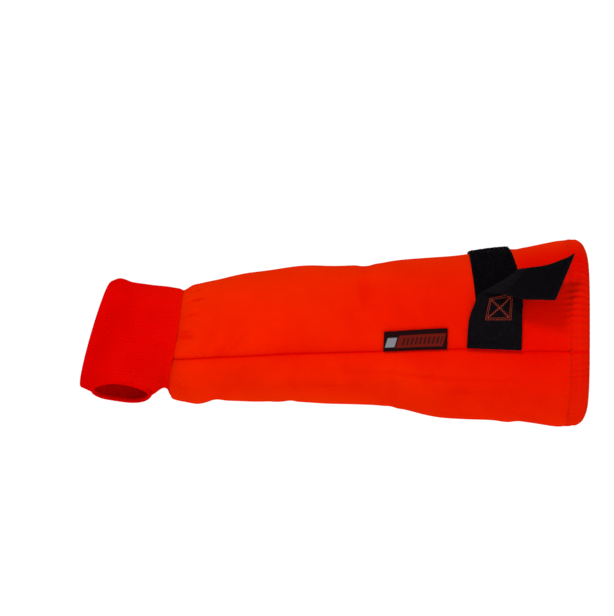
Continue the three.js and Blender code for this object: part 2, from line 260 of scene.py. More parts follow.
def wrist_pleats():
    """Uneven pleats, weaker along the lower front, in the columns of FOLDS."""
    rows, angle = [], -178.0
    while angle < 180:
        strength = 0.35 if -78 < angle < -14 else 1.0
        rows.append((-1.0, angle, rng.uniform(7, 15), rng.uniform(2.0, 3.6),
                     rng.uniform(0.5, 1.5) * strength, rng.uniform(-0.35, 0.35)))
        angle += rng.uniform(7.5, 15)
    return rows


PLEATS = wrist_pleats()
# Creases in the columns of FOLDS: the first ones are listed, and short ones over the top and the back of the
# wrist are drawn
CREASES = [
    (8, 6, 7, 2.2, -1.4, -0.6),
    (7, 10.5, 5, 1.8, -1.0, 0.5),
    (13, 46, 6, 2.0, -1.3, 0.5),
    (9, 28, 5, 1.8, -1.0, 0.4),
    (9, -50, 6, 2.2, -0.4, -0.5),
    (200, -31, 62, 2.0, -0.55, 0),
    (50, -5, 2.6, 11, -0.45, 0.66),
    (41, -7, 2.2, 10, -0.3, 0.6),
    (116, -47, 26, 2.4, -0.35, 0.2),
    (236, -42, 24, 2.6, -0.35, -0.3),
    (150, 22, 30, 2.4, -0.15, 0.4),
    (250, -50, 3.4, 9, -0.3, 0.3),
    (268, -46, 3.2, 10, -0.35, -0.2),
    (286, -50, 3, 8, -0.25, 0.25),
]
for _ in range(20):
    CREASES.append((rng.uniform(5, 12), rng.uniform(50, 275), rng.uniform(4, 8), rng.uniform(1.2, 2.0),
                    -rng.uniform(0.5, 1.0), rng.uniform(-0.8, 0.8)))
# Ripples of cloth pulled in by the elastic: cycles round, phase, size
HEM_WAVES = [
    (int(n), rng.uniform(0, 2 * math.pi), rng.uniform(0.5, 1.0)) for n in rng.integers(70, 104, 9)
]
# Slow waves of a padded cloth: cycles per mm, cycles round, phase, height
SWELLS = [
    (rng.uniform(-0.02, 0.02), int(rng.integers(1, 7)), rng.uniform(0, 2 * math.pi), rng.uniform(0.05, 0.2))
    for _ in range(14)
]


def hem_gather(angle):
    """Ripples of the hem. The elastic gathers the upper front and the back more than the underside."""
    turn = np.radians(angle)
    waves = sum(size * np.cos(n * turn + phase) for n, phase, size in HEM_WAVES)
    ripple = 0.6 * np.cos(HEM_STITCHES * turn) + waves / 5
    return ripple * (0.32 + 0.75 * bell(angle_gap(angle, 26), 28) + 0.5 * bell(angle_gap(angle, 165), 55))


def hem_dent(x):
    """The row of hem stitches draws the cloth in on both sides."""
    return -0.14 * bell(x - HEM_START, 0.9)


def swell(x, angle):
    turn = np.radians(angle)
    return sum(h * np.cos(2 * math.pi * f * x + n * turn + p) for f, n, p, h in SWELLS)


class Drape:
    """Offset of the simulated cloth on a grid that follows the seams, read by bilinear steps."""

    def __init__(self, rows, upper, lower):
        self.rows, self.upper, self.lower = rows, upper, lower
        self.grid = None

    def angles(self, x):
        front = seam_angle(x)[:, None]
        over = np.arange(self.upper)[None] / self.upper
        under = np.arange(self.lower)[None] / self.lower
        return np.concatenate(
            [front + (180 - 2 * front) * over, 180 - front + (180 + 2 * front) * under], 1)

    def at(self, x, angle):
        x, angle = np.broadcast_arrays(np.asarray(x, float), angle)
        if self.grid is None:
            return np.zeros(x.shape)
        front = seam_angle(x)
        turn, span = (angle - front) % 360, 180 - 2 * front
        j = np.where(turn < span, turn / span * self.upper,
                     self.upper + (turn - span) / (360 - span) * self.lower)
        i = np.clip(x / HEM_START * (self.rows - 1), 0, self.rows - 1.001)
        i0, j0 = np.floor(i).astype(int), np.floor(j).astype(int)
        u, v = i - i0, j - j0
        cols = self.upper + self.lower
        j0, j1 = j0 % cols, (j0 + 1) % cols
        low = self.grid[i0, j0] * (1 - v) + self.grid[i0, j1] * v
        high = self.grid[i0 + 1, j0] * (1 - v) + self.grid[i0 + 1, j1] * v
        return low * (1 - u) + high * u


drape = Drape(rows=112, upper=84, lower=60)


def seam_gaps(x, angle):
    """Arc distance in mm to the nearer seam."""
    front = seam_angle(x)
    gaps = [np.abs(angle_gap(angle, seam)) for seam in (front, 180 - front)]
    return np.minimum(*gaps) / arc_angle(x, 1.0)


def slack(x, angle):
    """Broad folds, slow waves and simulated wrinkles of the padded cloth."""
    return bumps(x, angle, FOLDS) + swell(x, angle) * np.clip(x / 30, 0, 1) + drape.at(x, angle)


def soft_relief(x, angle):
    """Everything but the seams' own grooves: folds, pleats, creases and the hem's gathers."""
    rise = slack(x, angle) + bumps(x, angle, PLEATS + CREASES) - 0.35 * decay(x, 7)
    to_hem = HEM_START - x
    return rise * (1 - decay(to_hem, 6)) + hem_gather(angle) * decay(to_hem, 5)


def seam_relief(x, angle):
    """A sharp groove in a broad hollow, with slight puckers along it."""
    gap = seam_gaps(x, angle)
    pucker = 0.22 * np.sin(x * 0.9 + 1.7 * np.sin(x * 0.13)) * decay(gap, 5)
    return -1.1 * decay(gap, 1.1) - 1.0 * bell(gap, SEAM_REACH) + pucker


def sleeve(x, angle, offset):
    """The sleeve's outer face without the seams' sharp grooves, moved off it."""
    hollow = SEAM_HOLLOW * bell(seam_gaps(x, angle), SEAM_REACH)
    return tube(SLEEVE, x, angle, soft_relief(x, angle) - hollow + offset)


# Meshes


def add_mesh(name, points, faces, material, corner=None, fields=None):
    """A smooth mesh object from points in mm and faces with equal numbers of corners."""
    mesh = bpy.data.meshes.new(name)
    sides = faces.shape[1]
    mesh.vertices.add(len(points))
    mesh.vertices.foreach_set("co", (points * MM).astype(np.float32).ravel())
    mesh.loops.add(faces.size)
    mesh.loops.foreach_set("vertex_index", faces.astype(np.int32).ravel())
    mesh.polygons.add(len(faces))
    mesh.polygons.foreach_set("loop_start", np.arange(0, faces.size, sides, dtype=np.int32))
    mesh.update(calc_edges=True)
    if corner is not None:
        layer = mesh.attributes.new("cloth", "FLOAT_VECTOR", "CORNER")
        layer.data.foreach_set("vector", corner.astype(np.float32).ravel())
    for key, values in (fields or {}).items():
        layer = mesh.attributes.new(key, "FLOAT", "POINT")
        layer.data.foreach_set("value", values.astype(np.float32).ravel())
    mesh.validate()
    mesh.polygons.foreach_set("use_smooth", np.full(len(mesh.polygons), True))
    mesh.update()
    obj = bpy.data.objects.new(name, mesh)
    bpy.context.scene.collection.objects.link(obj)
    if material is not None:
        mesh.materials.append(material)
    return obj


def quads(index):
    return np.stack([index[:-1, :-1], index[1:, :-1], index[1:, 1:], index[:-1, 1:]], -1).reshape(-1, 4)


def wall(name, outer, inner, coords, material, ring=False, keep=None, fields=None):
    """A closed wall between two grids of points. coords are the cloth's own, row by column."""
    rows, cols = outer.shape[:2]
    wide = cols + 1 if ring else cols
    count = rows * wide
    virtual = np.arange(count).reshape(rows, wide)
    front = quads(virtual)
    if keep is not None:
        front = front[keep.reshape(-1)]
    edge = np.concatenate([front[:, [0, 1]], front[:, [1, 2]], front[:, [2, 3]], front[:, [3, 0]]])
    real = (virtual % wide % cols + virtual // wide * cols).reshape(-1)
    key = np.sort(real[edge], 1)
    code = key[:, 0].astype(np.int64) * rows * cols + key[:, 1]
    _, first, uses = np.unique(code, return_index=True, return_counts=True)
    rim = edge[first[uses == 1]]
    rim_faces = np.stack([rim[:, 1], rim[:, 0], rim[:, 0] + count, rim[:, 1] + count], 1)
    faces = np.concatenate([front, front[:, ::-1] + count, rim_faces])
    side = np.repeat([0.0, 1.0], count)
    flat = np.concatenate([coords.reshape(-1, 2)] * 2)
    corner = np.concatenate([flat, side[:, None]], 1)[faces.reshape(-1)]
    both = np.concatenate([real, real + rows * cols])
    points = np.concatenate([outer.reshape(-1, 3), inner.reshape(-1, 3)])
    used, faces = np.unique(both[faces], return_inverse=True)
    kept = {k: np.concatenate([v.reshape(-1)] * 2)[used] for k, v in (fields or {}).items()}
    return add_mesh(name, points[used], faces.reshape(-1, 4), material, corner, kept)


def spaced(stretches):
    """Numbers from (start, stop, step) stretches, ends shared."""
    out = []
    for start, stop, step in stretches:
        n = max(1, round(abs(stop - start) / step))
        out.append(np.linspace(start, stop, n + 1)[:-1])
    return np.concatenate(out + [[stretches[-1][1]]])


# Simulated drape of the padded cloth

SIM_SCALE, SIM_FRAMES = 20.0, 20
SIM_HOLD, SIM_CAP = 0.08, 1.5
FINE_BLUR, BROAD_BLUR = 0.8, 6


def blur(grid, sigma):
    """Gaussian blur of a tube's grid, open along the rows and closed round the columns."""
    rows, cols = grid.shape
    pad = int(3 * sigma) + 1
    weights = np.exp(-(np.arange(-pad, pad + 1) ** 2) / (2 * sigma ** 2))
    weights = weights / weights.sum()
    tall = np.pad(grid, ((pad, pad), (0, 0)), mode="edge")
    grid = sum(w * tall[n:n + rows] for n, w in enumerate(weights))
    wide = np.pad(grid, ((0, 0), (pad, pad)), mode="wrap")
    return sum(w * wide[:, n:n + cols] for n, w in enumerate(weights))


def add_cloth(obj, group_name):
    """Slightly large fabric under pressure, without gravity, held by a vertex group."""
    modifier = obj.modifiers.new("cloth", "CLOTH")
    fabric = modifier.settings
    fabric.quality, fabric.mass, fabric.air_damping = 6, 0.1, 1.0
    fabric.tension_stiffness = fabric.compression_stiffness = 20.0
    fabric.shear_stiffness, fabric.bending_stiffness = 7.0, 3.0
    fabric.use_pressure, fabric.uniform_pressure_force = True, 4.0
    fabric.effector_weights.gravity = 0.0
    fabric.vertex_group_mass = group_name
    fabric.shrink_min = -0.028
    modifier.collision_settings.use_collision = False
    modifier.point_cache.frame_start, modifier.point_cache.frame_end = 1, SIM_FRAMES


def simulate():
    """Blow up a cloth tube held at its seams and ends, and keep its small wrinkles."""
    x = np.linspace(0, HEM_START, drape.rows)
    angle = drape.angles(x)
    x = np.broadcast_to(x[:, None], angle.shape)
    first = 0.6 * bumps(x, angle, FOLDS) + 0.36 * bumps(x, angle, PLEATS)
    base = tube(SLEEVE, x, angle, 0.0)
    outward = tube(SLEEVE, x, angle, 1.0) - base
    points = tube(SLEEVE, x, angle, first)
    rows, cols = angle.shape
    index = closed(np.arange(rows * cols).reshape(rows, cols), 1)
    cloth = add_mesh("sleeve_cloth", points.reshape(-1, 3) * SIM_SCALE, quads(index), None)
    hold = np.full((rows, cols), SIM_HOLD)
    hold[[0, -1]] = 1
    hold[:, [0, drape.upper]] = 1
    group = cloth.vertex_groups.new(name="hold")
    for weight in np.unique(hold):
        group.add(np.flatnonzero(hold.ravel() == weight).tolist(), float(weight), "REPLACE")
    add_cloth(cloth, group.name)
    for frame_number in range(1, SIM_FRAMES + 1):
        bpy.context.scene.frame_set(frame_number)
    moved = np.empty(rows * cols * 3, np.float32)
    cloth.evaluated_get(bpy.context.evaluated_depsgraph_get()).data.vertices.foreach_get("co", moved)
    moved = moved.reshape(rows, cols, 3) / (SIM_SCALE * MM)
    bpy.context.scene.frame_set(1)
    mesh = cloth.data
    bpy.data.objects.remove(cloth)
    bpy.data.meshes.remove(mesh)
    rise = blur(((moved - base) * outward).sum(-1) - first, FINE_BLUR)
    rise = rise - blur(rise, BROAD_BLUR)
    drape.grid = SIM_CAP * np.tanh(rise / SIM_CAP)


# Materials


class Tree:
    """Short hand for building one Principled material."""

    def __init__(self, name, roughness, specular):
        self.material = bpy.data.materials.new(name)
        self.material.use_nodes = True
        self.nodes, self.links = self.material.node_tree.nodes, self.material.node_tree.links
        self.shader = self.nodes["Principled BSDF"]
        self.plug(self.shader, {"Roughness": roughness, "Specular IOR Level": specular})

    def plug(self, node, values):
        """Link or set inputs by name or number. A tuple is a colour, and None is left out."""
        for key, value in values.items():
            if isinstance(value, bpy.types.NodeSocket):
                self.links.new(value, node.inputs[key])
            elif value is not None:
                node.inputs[key].default_value = (*value, 1.0) if isinstance(value, tuple) else value

    def field(self, name, kind="Fac"):
        node = self.nodes.new("ShaderNodeAttribute")
        node.attribute_name = name
        return node.outputs[kind]

    def cloth(self):
        """The cloth's own two coordinates."""
        node = self.nodes.new("ShaderNodeSeparateXYZ")
        self.plug(node, {0: self.field("cloth", "Vector")})
        return node.outputs[0], node.outputs[1]

    def place(self):
        return self.nodes.new("ShaderNodeTexCoord").outputs["Object"]

    def math(self, operation, *values):
        node = self.nodes.new("ShaderNodeMath")
        node.operation = operation
        self.plug(node, dict(enumerate(values)))
        return node.outputs[0]

    def times(self, a, b):
        return self.math("MULTIPLY", a, b)

    def plus(self, a, b):
        return self.math("ADD", a, b)

    def wave(self, value, pitch):
        """Sine that repeats after each pitch."""
        return self.math("SINE", self.times(value, 2 * math.pi / pitch))

    def join(self, x, y):
        node = self.nodes.new("ShaderNodeCombineXYZ")
        self.plug(node, {0: x, 1: y})
        return node.outputs[0]

    def noise(self, vector, scale, detail=3.0, rough=0.55):
        node = self.nodes.new("ShaderNodeTexNoise")
        self.plug(node, {"Vector": vector, "Scale": scale, "Detail": detail, "Roughness": rough})
        return node.outputs["Fac"]

    def ramp(self, value, low, high, to_low=0.0, to_high=1.0):
        node = self.nodes.new("ShaderNodeMapRange")
        node.interpolation_type = "SMOOTHSTEP"
        self.plug(node, dict(enumerate((value, low, high, to_low, to_high))))
        return node.outputs[0]

    def mix(self, factor, a, b):
        node = self.nodes.new("ShaderNodeMix")
        node.data_type = "RGBA"
        numbers = [n for n, socket in enumerate(node.inputs) if socket.enabled]
        self.plug(node, dict(zip(numbers, (factor, a, b))))
        return next(socket for socket in node.outputs if socket.enabled)

    def bump(self, height, distance, strength, after=None):
        node = self.nodes.new("ShaderNodeBump")
        self.plug(node, {"Strength": strength, "Distance": distance * MM, "Height": height, "Normal": after})
        return node.outputs[0]

    def finish(self, colour, normal=None, rough=None, sheen=(None, None, None)):
        """The material. sheen is its weight, roughness and tint."""
        weight, sheen_rough, tint = sheen
        self.plug(self.shader, {
            "Base Color": colour, "Normal": normal, "Roughness": rough,
            "Sheen Weight": weight, "Sheen Roughness": sheen_rough, "Sheen Tint": tint,
        })
        return self.material


def darker(colour, share):
    return tuple(c * share for c in colour)


def weave(t, u, v, pitch):
    """Height of a plain weave of threads with this pitch, 0 to 1."""
    return t.math("MULTIPLY_ADD", t.times(t.wave(u, pitch), t.wave(v, pitch)), 0.5, 0.5)


# Tones of the shell and the knit for painted light and shade: a painted highlight tone, a painted shadow
# tone, and painted shade in seams, creases and folds
LIT_TONE, SHADOW_TONE, HOLLOW_SHADE_TONE = (0.85, 0.03, 0.0004), (0.72, 0.0014, 0.0002), (0.68, 0.0004, 0.0001)
KNIT_LIT_TONE, KNIT_SHADOW_TONE = (0.77, 0.0045, 0.0002), (0.56, 0.0004, 0.0001)


def shell_cloth(name, bright, dark):
    """Plain weave with slubs and a slight crumple. The mesh's fields say where light, shadow and shade are
    painted into its colour.
    """
    t = Tree(name, roughness=0.8, specular=0.0)
    u, v = t.cloth()
    thread = weave(t, u, v, pitch=0.9)
    slub = t.noise(t.join(t.times(u, 0.12), v), scale=0.9)
    cloud = t.noise(t.join(u, v), scale=0.022)
    shade = t.mix(t.ramp(cloud, 0.32, 0.68), dark, bright)
    # Painted light, painted shadow and painted shade, read from the mesh's fields
    shade = t.mix(t.field("painted_light"), shade, LIT_TONE)
    shade = t.mix(t.field("painted_shadow"), shade, SHADOW_TONE)
    shade = t.mix(t.times(t.ramp(slub, 0.35, 0.7), 0.22), shade, dark)
    shade = t.mix(t.times(thread, 0.16), shade, darker(dark, 0.55))
    shade = t.mix(t.field("hollow_shade"), shade, HOLLOW_SHADE_TONE)
    crumple = t.noise(t.join(t.times(u, 0.6), v), scale=0.11, detail=2.0, rough=0.5)
    normal = t.bump(crumple, distance=1.1, strength=0.35)
    cloth = t.plus(t.times(thread, 0.6), t.times(slub, 0.4))
    normal = t.bump(cloth, distance=0.14, strength=0.6, after=normal)
    return t.finish(shade, normal, t.ramp(slub, 0.2, 0.8, 0.7, 0.86), sheen=(0.05, 0.5, (1.0, 0.24, 0.0)))


def knit_cloth(name, bright, dark):
    """Rib knit: u counts ribs and v is mm along them."""
    t = Tree(name, roughness=0.88, specular=0.0)
    u, v = t.cloth()
    lean = t.math("ABSOLUTE", t.math("SUBTRACT", t.math("FRACT", u), 0.5))
    row = t.math("FRACT", t.plus(t.times(v, 0.62), t.times(lean, 1.1)))
    loop = t.math("SINE", t.times(row, math.pi))
    rib_valley_shade = t.ramp(lean, 0.3, 0.5)
    yarn = t.join(t.times(u, 2.3), v)
    fuzz = t.noise(yarn, scale=1.6)
    cloud = t.noise(yarn, scale=0.04, detail=2.0)
    shade = t.mix(t.ramp(cloud, 0.3, 0.7), dark, bright)
    # Painted shade by the hand and painted light by the sleeve, read from the mesh's fields
    shade = t.mix(t.field("painted_shadow"), shade, KNIT_SHADOW_TONE)
    shade = t.mix(t.field("painted_light"), shade, KNIT_LIT_TONE)
    # Painted shade in the valleys between the ribs and between the rows of loops
    shade = t.mix(t.times(rib_valley_shade, 0.11), shade, darker(dark, 0.45))
    shade = t.mix(t.times(t.math("SUBTRACT", 1.0, loop), 0.09), shade, darker(dark, 0.5))
    height = t.plus(t.times(loop, 0.7), t.times(fuzz, 0.5))
    normal = t.bump(height, distance=0.22, strength=0.6)
    return t.finish(shade, normal, t.ramp(fuzz, 0.2, 0.8, 0.8, 0.92), sheen=(0.04, 0.5, (1.0, 0.01, 0.005)))


def black_weave(name, base, pitch, sheen, twill=True):
    """Black tape, in twill or plain weave, with a little dust."""
    t = Tree(name, roughness=0.8, specular=0.02)
    u, v = t.cloth()
    if twill:
        thread = t.math("MULTIPLY_ADD", t.wave(t.plus(u, t.times(v, 0.7)), pitch), 0.5, 0.5)
    else:
        thread = weave(t, u, v, pitch)
    dust = t.noise(t.join(u, v), scale=0.35, detail=4.0)
    shade = t.mix(t.ramp(dust, 0.45, 0.85), base, tuple(c * 2.4 + 0.0012 for c in base))
    shade = t.mix(t.times(thread, 0.4), shade, darker(base, 0.4))
    normal = t.bump(t.plus(thread, t.times(dust, 0.5)), distance=0.18, strength=0.6)
    return t.finish(shade, normal, t.ramp(dust, 0.2, 0.8, 0.68, 0.85), sheen=(sheen, 0.5, (0.8, 0.78, 0.95)))


def label_cloth(name):
    """Satin label: black ground, a pale block and a hatched dull red band, all slanting. u, v run 0 to 1."""
    t = Tree(name, roughness=0.6, specular=0.03)
    u, v = t.cloth()
    slant = t.math("SUBTRACT", u, t.times(t.math("SUBTRACT", v, 0.5), 0.087))

    def between(value, low, high, soft):
        return t.times(t.ramp(value, low - soft, low + soft), t.ramp(value, high + soft, high - soft))

    def box(left, right, low, high):
        return t.times(between(slant, left, right, 0.008), between(v, low, high, 0.025))

    bars = t.math("GREATER_THAN", t.math("FRACT", t.times(slant, 15.0)), 0.5)
    hatch = t.times(bars, box(0.27, 0.92, 0.3, 0.64))
    thread = weave(t, t.times(u, LABEL_WIDE), t.times(v, LABEL_HEIGHT), pitch=0.55)
    shade = t.mix(box(0.22, 0.955, 0.17, 0.77), (0.012, 0.0015, 0.002), (0.15, 0.008, 0.004))
    shade = t.mix(t.times(hatch, 0.85), shade, (0.03, 0.003, 0.003))
    shade = t.mix(box(0.045, 0.195, 0.22, 0.68), shade, (0.24, 0.25, 0.27))
    shade = t.mix(t.times(thread, 0.35), shade, (0.006, 0.0015, 0.0015))
    normal = t.bump(thread, distance=0.1, strength=0.5)
    return t.finish(shade, normal, sheen=(0.01, 0.4, (0.9, 0.4, 0.4)))


def thread_material(name, colour, rough=0.6):
    t = Tree(name, roughness=rough, specular=0.025)
    twist = t.noise(t.place(), scale=1800.0, detail=2.0)
    shade = t.mix(t.ramp(twist, 0.3, 0.7), darker(colour, 0.55), colour)
    normal = t.bump(twist, distance=0.08, strength=0.5)
    return t.finish(shade, normal, sheen=(0.01, 0.4, (1.0, 0.7, 0.6)))


SHELL_DYE = (0.83, 0.0135, 0.0003), (0.76, 0.0105, 0.0002)
orange = shell_cloth("orange_shell", *SHELL_DYE)
orange_low = shell_cloth("orange_shell_low", *SHELL_DYE)
orange_hem = shell_cloth("orange_hem", (0.77, 0.0125, 0.0003), (0.7, 0.009, 0.0002))
knit = knit_cloth("red_knit", (0.7, 0.0008, 0.0002), (0.64, 0.0005, 0.0001))
strap_black = black_weave("strap_black", (0.0034, 0.0026, 0.0038), 1.1, 0.011)
loop_black = black_weave("loop_black", (0.0015, 0.0009, 0.0019), 1.6, 0.01, twill=False)
hook_black = black_weave("hook_black", (0.003, 0.0024, 0.0032), 1.3, 0.008, twill=False)
pile_black = thread_material("pile_black", (0.0018, 0.0009, 0.0024), 0.8)
label_satin = label_cloth("label_satin")
orange_thread = thread_material("orange_thread", (0.86, 0.03, 0.002))
mark_thread = thread_material("mark_thread", (0.4, 0.05, 0.025))
black_thread = thread_material("black_thread", (0.003, 0.0025, 0.003))

# Padded panels

# Mesh rows as start, stop and step, and mesh columns by a seam as shares of the panel
PANEL_ROWS = [(0, 26, 0.9), (26, 296, 1.9), (296, HEM_START - HEM_GAP, 1.0)]
SEAM_COLUMNS = np.array([0, 0.25, 0.55, 0.9, 1.3, 1.8, 2.5, 3.4, 4.6, 6.2]) / 200.0


def painted_light_share(x, angle):
    """Painted light: a lighter, more orange tone along the top, below the forearm and towards the wrist,
    with a lit rim at the wrist's edge.
    """
    side = np.sin(np.radians(angle))
    top = 0.6 * np.clip(side, 0, 1) ** 4
    below = 0.4 * np.clip((-side - 0.75) / 0.2, 0, 1) * bell(x - 110, 75)
    return top + 0.12 * bell(x, 90) + 0.18 * decay(x, 5) + below


def painted_shadow_share(x, angle):
    """Painted shadow, redder and darker, on the front towards the strap and the elbow, strongest behind the
    lifted end of the strap.
    """
    along = np.interp(x, *zip(*SHADOW_ALONG))
    turn = angle_gap(angle, 12)
    reach = np.where(turn < 0, 36 + 28 * np.clip((x - 232) / 40, 0, 1), 36)
    behind = 0.95 * np.clip((x - 258) / 16, 0, 1) * bell(angle_gap(angle, 50), 22)
    return 1 - (1 - along * bell(turn, reach)) * (1 - behind)


def label_shade(x, angle):
    """The label stands off the cloth along its upper edge and shades it there."""
    share = (x - LABEL_LEFT) / LABEL_WIDE
    above = angle_gap(angle, seam_angle(x)) / arc_angle(x, 1.0) - LABEL_HEIGHT - LABEL_RISE * share
    beside = np.clip(np.abs(share - 0.5) - 0.48, 0, 1) * LABEL_WIDE
    return 0.45 * np.exp(-np.abs(above) / 2.2 - beside / 1.5) * (0.5 + 0.5 * np.clip(share, 0, 1))


def panel_fields(x, angle):
    """Where light and shade are painted on the panels: painted shade along seams, creases, gathers, fold
    hollows and under the label's edge, painted light on fold ridges, along the top and by the wrist, and a
    painted shadow by the strap.
    """
    gap = seam_gaps(x, angle)
    folds = slack(x, angle)
    # Painted shade: in the seams, on the upper panel beside the seams, along the wrist's edge, in creases,
    # in the hem's gather dips, by the wrist's pleats, under the label's edge and in fold hollows
    over = 0.3 * decay(gap, 4) * (np.sin(np.radians(angle - seam_angle(x))) > 0)
    hollow_shade = decay(gap, 0.95) + over + 0.12 * decay(x, 1.2)
    hollow_shade = hollow_shade + 0.5 * np.clip(-bumps(x, angle, CREASES), 0, 1)
    hollow_shade = hollow_shade + 0.4 * np.clip(-hem_gather(angle), 0, 1) * decay(HEM_START - x, 3)
    hollow_shade = hollow_shade + 0.12 * np.clip(0.7 - bumps(x, angle, PLEATS), 0, 1) * decay(x, 5)
    hollow_shade = hollow_shade + label_shade(x, angle) + 0.16 * np.clip(-folds, 0, 2)
    # Painted light along the top, by the wrist and on fold ridges, and a painted shadow by the strap
    return {"hollow_shade": np.clip(hollow_shade, 0, 1), "painted_light": painted_light_share(x, angle) + 0.14 * np.clip(folds, 0, 2),
            "painted_shadow": painted_shadow_share(x, angle)}


def panel(name, spans, columns, material):
    """Padded panel between the seam angles that spans gives for its rows."""
    rows = spaced(PANEL_ROWS)
    inside = np.linspace(SEAM_COLUMNS[-1], 1 - SEAM_COLUMNS[-1], columns)[1:-1]
    share = np.concatenate([SEAM_COLUMNS, inside, 1 - SEAM_COLUMNS[::-1]])
    start, stop = spans(rows)
    gap = arc_angle(rows, SEAM_GAP / 2)
    angle = (start + gap)[:, None] + (stop - start - 2 * gap)[:, None] * share[None]
    x = rows[:, None] + wrist_edge(angle) * decay(rows[:, None], 8)
    soft = soft_relief(x, angle)
    outer = tube(SLEEVE, x, angle, soft + seam_relief(x, angle) + hem_dent(x))
    thin = (PANEL_WALL - PANEL_EDGE_WALL) * decay(x, WRIST_TAPER)
    inner = tube(SLEEVE, x, angle, thin - PANEL_WALL + 0.25 * soft)
    coords = pairs(x, angle / arc_angle(x, 1.0))
    return wall(name, outer, inner, coords, material, fields=panel_fields(x, angle))


def upper_span(x):
    front = seam_angle(x)
    return front, 180 - front


def lower_span(x):
    front = seam_angle(x)
    return 180 - front, front + 360


# Elastic hem


def hem_piece():
    """Gathered hem with elastic channels and a rounded lip."""
    theta = np.linspace(0, math.pi / 2 - 0.12, 8)[1:]
    straight = spaced([(HEM_START + HEM_GAP, HEM_END - HEM_LIP, 0.8)])
    x = np.concatenate([straight, HEM_END - HEM_LIP + HEM_LIP * np.sin(theta)])[:, None]
    inset = np.concatenate([np.zeros(len(straight)), HEM_LIP - HEM_LIP * np.cos(theta)])[:, None]
    turns = around(840, 360)
    x, angle = np.broadcast_arrays(x, turns[None, :])
    ripple = hem_gather(angle)
    gap = seam_gaps(x, angle)
    gather = ripple * (1.0 - 0.5 * np.clip((x - HEM_END) / 6 + 1, 0, 1)) - 0.8 * decay(gap, 1.1)
    channel = 0.3 * np.sin(np.clip((x - HEM_START) / (HEM_END - HEM_START), 0, 1) * 3 * math.pi) ** 2
    outer = tube(SLEEVE, x, angle, gather + hem_dent(x) + channel - inset)
    inner = tube(SLEEVE, x, angle, 0.7 * gather - HEM_WALL + inset)
    coords = pairs(x[:, :1], np.append(turns, 360.0)[None, :] * 1.15)
    # Painted shade in the dips between the gathers and along the seams; painted light and a painted shadow
    # as on the panels
    hollow_shade = np.clip(np.clip(-ripple, 0, 1) * 0.5 + decay(gap, 0.95), 0, 1)
    fields = {"hollow_shade": hollow_shade, "painted_light": painted_light_share(x, angle), "painted_shadow": painted_shadow_share(x, angle)}
    return wall("elbow_hem_gathered", outer, inner, coords, orange_hem, ring=True, fields=fields)


# Knitted cuff

# Thumb hole: an oval prism that leaves the cuff downwards and to the front
HOLE_CENTRE = np.array((-44.0, -8.4, -45.0))
HOLE_DOWN = unit(np.array((-0.08, -0.49, -0.87)))
HOLE_ACROSS = unit(np.cross(HOLE_DOWN, (1.0, 0, 0)))
HOLE_ALONG = np.cross(HOLE_ACROSS, HOLE_DOWN)
HOLE_HALF_LONG, HOLE_HALF_WIDE, HOLE_ABOVE = 22.0, 14.0, 12.0


def hole_value(points):
    """Below 1 inside the thumb hole."""
    away = points - HOLE_CENTRE
    u, v = away @ HOLE_ALONG / HOLE_HALF_LONG, away @ HOLE_ACROSS / HOLE_HALF_WIDE
    return np.where(away @ HOLE_DOWN > -HOLE_ABOVE, np.hypot(u, v), 9.0)


def cuff_relief(x, angle):
    return bumps(x, angle, CUFF_FOLDS) + 0.35 * np.cos(np.radians(angle) * 3 + x * 0.06) * decay(-x, 30)


def rib(angle):
    """Rounded ribs with narrow valleys between them, -1 to 0."""
    return np.abs(np.cos(np.radians(angle) * RIBS / 2)) ** 0.7 - 1


def cuff_fields(x, angle):
    """Painted shade on the knit by the hand in front, and painted light by the sleeve, on top and below."""
    turn = angle_gap(angle, 0)
    side = np.sin(np.radians(angle))
    hand_shade = 0.65 * bell(x + 54 - 0.15 * turn, 11) * bell(turn, 42)
    top = 0.6 * np.clip(side, 0, 1) ** 3 * bell(x + 12, 32)
    below = 0.55 * np.clip(-side, 0, 1) ** 2 * bell(x + 20, 22)
    return {"painted_shadow": hand_shade, "painted_light": 0.4 * decay(-x, 10) + top + below}


def cuff_piece():
    """Ribbed tube with a rounded lip at the hand, open where the thumb hole is."""
    columns = RIBS * 6
    angle = around(columns, 360)[None, :]
    radius = CUFF_WALL / 2
    theta = np.linspace(0.2, math.pi / 2, 6)[:-1]
    body = spaced([(CUFF_START + radius, -6, 1.15), (-6, -0.05, 0.65)])
    row = np.concatenate([CUFF_START + radius - radius * np.cos(theta), body])[:, None]
    lift = np.concatenate([radius * np.sin(theta), np.full(len(body), radius)])[:, None]
    x = row + wrist_edge(angle) * decay(-row, 6)
    soft = cuff_relief(x, angle)
    ribs = 0.3 * rib(angle) * np.clip((x - CUFF_START + 0.2) / 1.5, 0.35, 1)
    tuck = -0.12 * decay(-row, 1.6)
    outer = tube(CUFF, x, angle, soft + ribs + tuck + lift - radius)
    inner = tube(CUFF, x, angle, soft - ribs * 0.6 - lift - radius)
    inside = closed(hole_value(tube(CUFF, x, angle, soft - radius)), 1) < 1.03
    gone = inside[:-1, :-1] & inside[1:, :-1] & inside[1:, 1:] & inside[:-1, 1:]
    coords = pairs(np.linspace(0, RIBS, columns + 1)[None, :] + 0.5, closed(x, 1))
    return wall("knit_cuff_ribbed", outer, inner, coords, knit, ring=True, keep=~gone,
                fields=cuff_fields(x, angle))


def in_cuff(points, inset):
    """Below 0 inside the cuff's section shrunk by inset."""
    x = points[:, 0].copy()
    for _ in range(12):
        s = stations(CUFF, np.clip(x, CUFF_START, CUFF_SEWN))
        x = points[:, 0] - s[:, LEAN] * points[:, 2] - s[:, YAW] * points[:, 1]
    s = stations(CUFF, np.clip(x, CUFF_START, CUFF_SEWN))
    middle, half = heights(s)
    return np.hypot(points[:, 1] / (s[:, DEPTH] / 2 - inset), (points[:, 2] - middle) / (half - inset)) - 1


